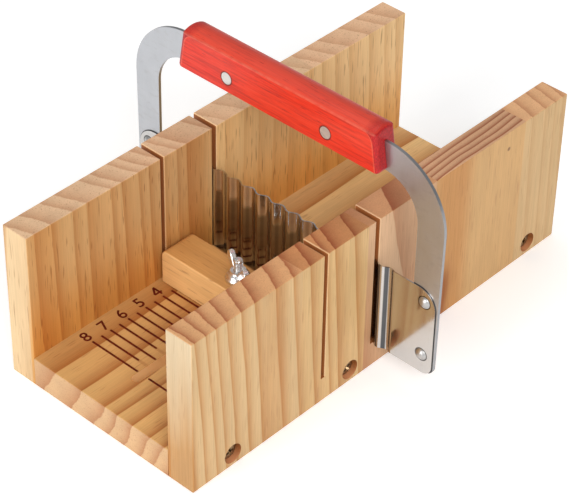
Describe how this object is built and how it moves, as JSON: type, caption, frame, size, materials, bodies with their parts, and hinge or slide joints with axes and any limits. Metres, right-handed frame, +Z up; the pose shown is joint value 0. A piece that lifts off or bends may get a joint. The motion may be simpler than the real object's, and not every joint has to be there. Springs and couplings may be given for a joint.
{
  "type": "soap cutter",
  "caption": "Wooden soap cutter: open slotted box with a sliding clamped stop, and a wavy steel blade on a bow with a grip that drops into the slots.",
  "frame": {"origin": "middle of the box's underside", "axes": "+X along the box from the scale end to the open loaf end, +Y to the wall beside the scale's numerals, +Z up"},
  "size_m": [0.224, 0.1676, 0.1194],
  "materials": {
    "pine": "sanded pine, unvarnished",
    "stop_wood": "fine sanded wood",
    "red_wood": "red stain under satin lacquer",
    "satin_steel": "satin stainless strip",
    "polished_steel": "polished stainless sheet",
    "rivet_steel": "polished",
    "zinc_steel": "bright zinc plate",
    "screw_steel": "zinc plate"
  },
  "bodies": {
    "box": {"floor_board": "pine", "near_wall": "pine", "far_wall": "pine", "near_screw_1": "screw_steel", "near_screw_2": "screw_steel", "near_screw_3": "screw_steel", "far_screw_1": "screw_steel", "far_screw_2": "screw_steel", "far_screw_3": "screw_steel"},
    "stop": {"stop_block": "stop_wood", "stop_bolt": "zinc_steel"},
    "nut": {"wing_nut": "zinc_steel"},
    "cutter": {"cutter_blade": "polished_steel", "cutter_bow": "satin_steel", "cutter_handle": "red_wood", "near_handle_pin": "rivet_steel", "far_handle_pin": "rivet_steel", "near_upper_rivet": "rivet_steel", "near_lower_rivet": "rivet_steel", "far_upper_rivet": "rivet_steel", "far_lower_rivet": "rivet_steel"}
  },
  "joints": [
    {"name": "stop_slide", "type": "slide", "parent": "box", "child": "stop", "axis": [1, 0, 0], "range_m": [-0.05635, 0.0137]},
    {"name": "wing_nut_turn", "type": "hinge", "parent": "stop", "child": "nut", "pos_m": [-0.0337, 0, 0.036], "axis": [0, 0, 1], "range_deg": [0, 360]},
    {"name": "cutter_lift", "type": "slide", "parent": "box", "child": "cutter", "axis": [0, 0, 1], "range_m": [0, 0.08]}
  ]
}
